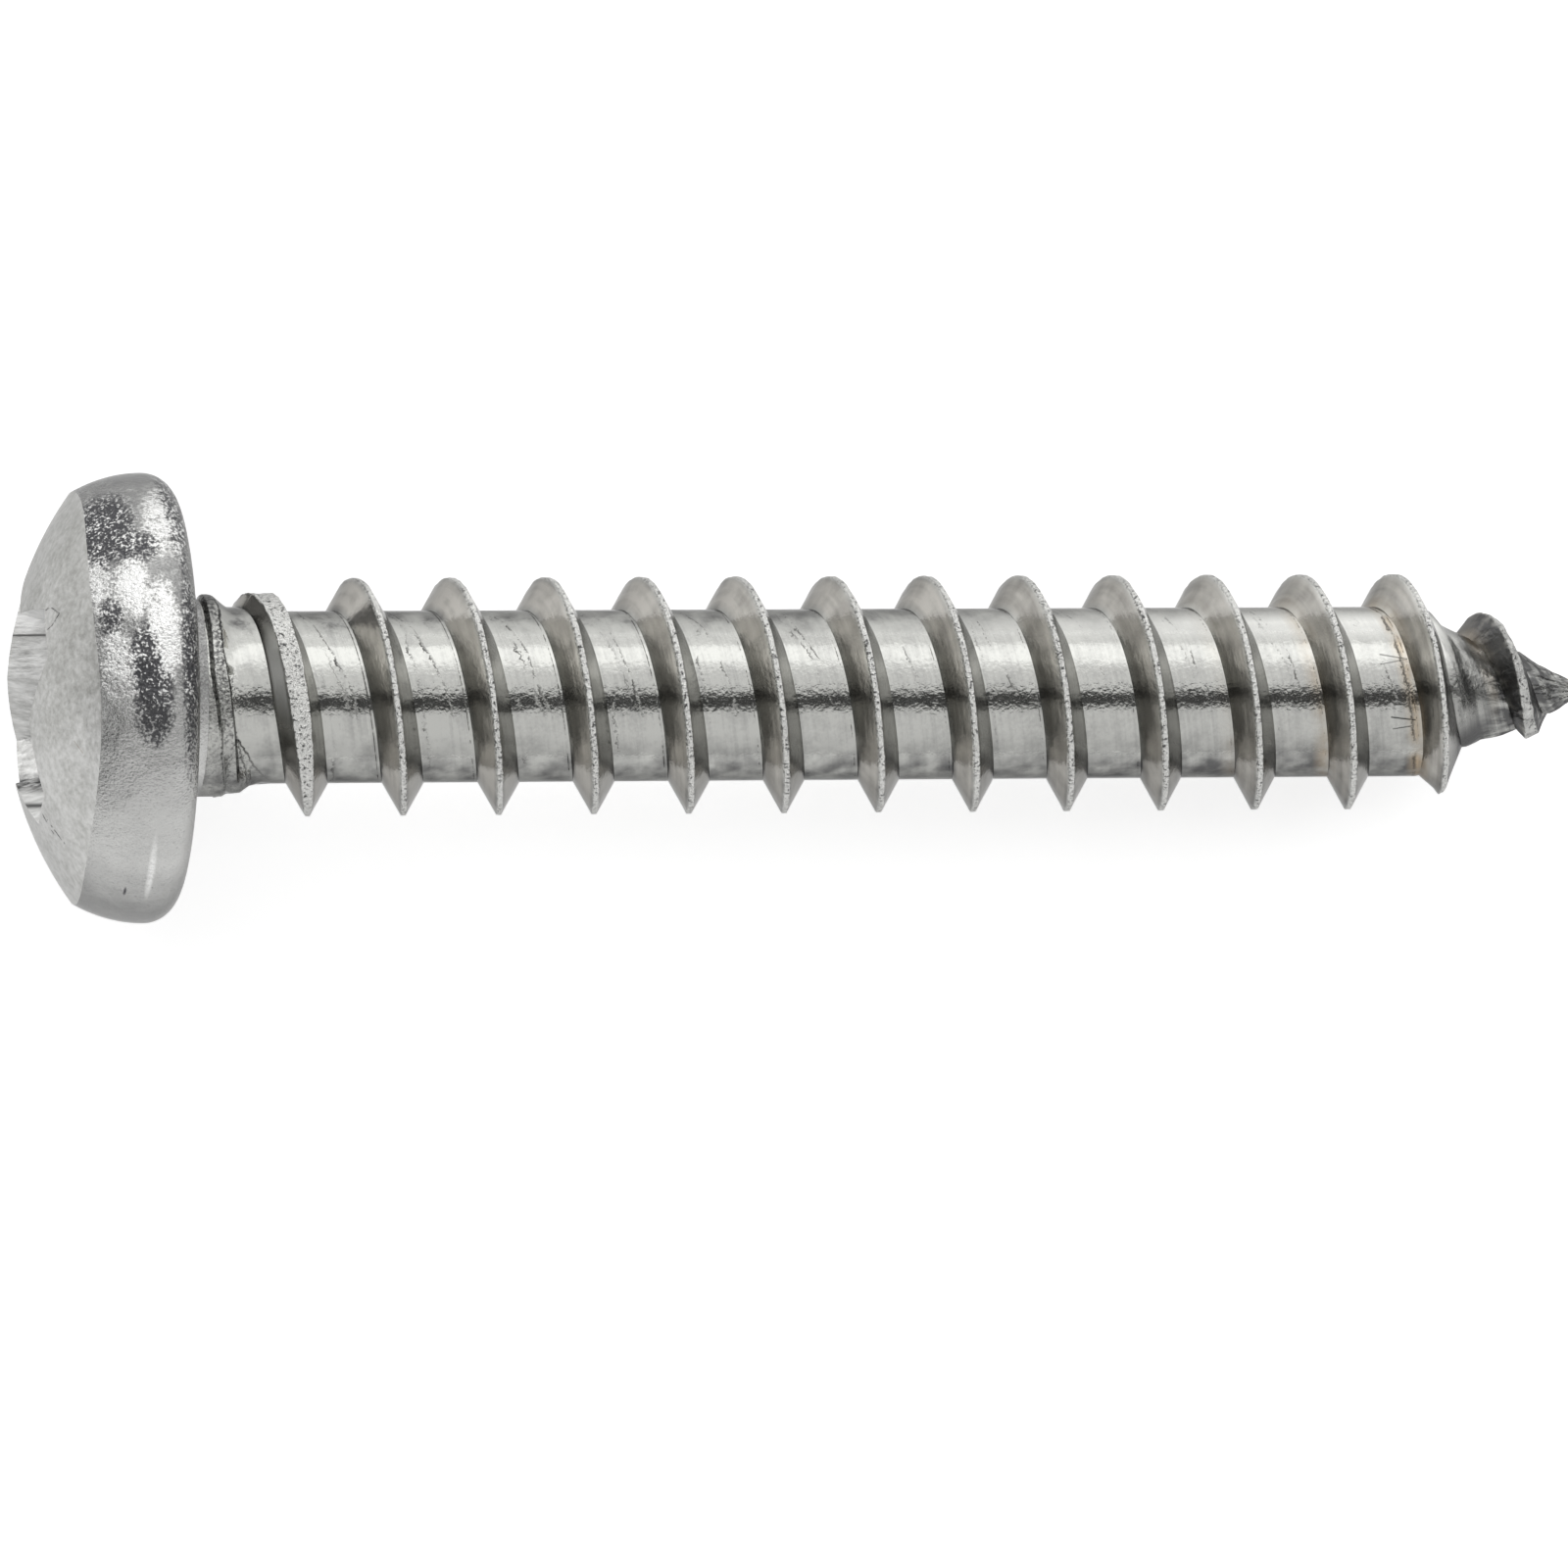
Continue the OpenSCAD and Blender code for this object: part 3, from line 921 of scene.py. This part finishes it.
bpy.ops.mesh.primitive_plane_add(size=floor_size, location=(0, 0, 0))
floor = bpy.context.object
floor.name = "floor"
paper = bpy.data.materials.new("floor_paper")
paper.use_nodes = True
paper.node_tree.nodes.clear()
sheet = Wire(paper.node_tree)
camera_ray, glossy_ray, clear_ray = (
    sheet.node("ShaderNodeLightPath", {}, {}, output) for output in (0, 3, 6)
)
seen = (camera_ray + glossy_ray + clear_ray).clamped()
matt = sheet.node("ShaderNodeBsdfDiffuse", {}, {"Color": paper_white})
glow = sheet.node("ShaderNodeEmission", {}, {"Color": (1, 1, 1, 1), "Strength": seen * paper_glow})
both = sheet.node("ShaderNodeAddShader", {}, {0: matt, 1: glow})
sheet.node("ShaderNodeOutputMaterial", {}, {"Surface": both})
floor.data.materials.append(paper)


# Light. Long soft boxes stand round the screw's two sides, with a dark gap over it where the camera
# looks through. The far side has the brighter ones, the brightest of them fairly low, and all reach
# well past the point, so that its cone is lit too. Their sizes are in metres.
box_distance = 0.3
box_w = 0.85
box_x = 0.15
room_level = 0.08


def soft_box(name, side, low_angle, high_angle, radiance):
    """A panel on one side of the screw, which spans two angles from straight up."""
    ends = [
        Vector((0, side * math.sin(math.radians(angle)), math.cos(math.radians(angle)))) * box_distance
        for angle in (low_angle, high_angle)
    ]
    across = ends[1] - ends[0]
    light = bpy.data.lights.new(name, "AREA")
    light.shape = "RECTANGLE"
    light.size = box_w
    light.size_y = across.length
    light.energy = radiance * math.pi * box_w * across.length
    lamp = bpy.data.objects.new(name, light)
    up = across.normalized()
    away = Vector((1, 0, 0)).cross(up)
    middle = (ends[0] + ends[1]) / 2
    if away.dot(middle) < 0:
        away = -away
    middle.x = box_x
    facing = Matrix((up.cross(away), up, away)).transposed().to_4x4()
    lamp.matrix_world = Matrix.Translation(middle) @ facing
    lamp.visible_camera = False
    bpy.context.scene.collection.objects.link(lamp)


soft_box("upper_far_box", 1, 3, 34, 1.08)
soft_box("middle_far_box", 1, 34, 44, 1.4)
soft_box("bright_far_box", 1, 44, 70, 1.95)
soft_box("low_far_box", 1, 70, 90, 1.3)
soft_box("near_box", -1, 19.5, 90, 0.95)
world = bpy.data.worlds.new("studio")
world.use_nodes = True
room_grey = (room_level, room_level, room_level, 1.0)
world.node_tree.nodes["Background"].inputs["Color"].default_value = room_grey
bpy.context.scene.world = world


# Camera. It looks down on the screw from above, leaning towards the head, through a long lens.
lean = math.radians(5.84)
roll = math.radians(-0.372)
distance = 232.5
aim_z = 10.84
aim_above_centre = 1.569
lens_l = 303.75
sensor_w = 36

forward = Vector((math.sin(lean), 0, -math.cos(lean)))
level = Vector((math.cos(lean), 0, math.sin(lean)))
low_side_way = Vector((0, -1, 0))
down = low_side_way * math.cos(roll) + level * math.sin(roll)
right = level * math.cos(roll) - low_side_way * math.sin(roll)
aim = lie @ Vector((0, 0, aim_z))
place = aim - (forward * distance - down * aim_above_centre) * MM
camera = bpy.data.objects.new("camera", bpy.data.cameras.new("camera"))
camera.data.sensor_width = sensor_w
camera.data.lens = lens_l
camera.data.clip_start = 0.01
camera.data.clip_end = 10
facing = Matrix((right, -down, -forward)).transposed().to_4x4()
camera.matrix_world = Matrix.Translation(place) @ facing
bpy.context.scene.collection.objects.link(camera)
bpy.context.scene.camera = camera
bpy.context.scene.view_settings.view_transform = "Standard"
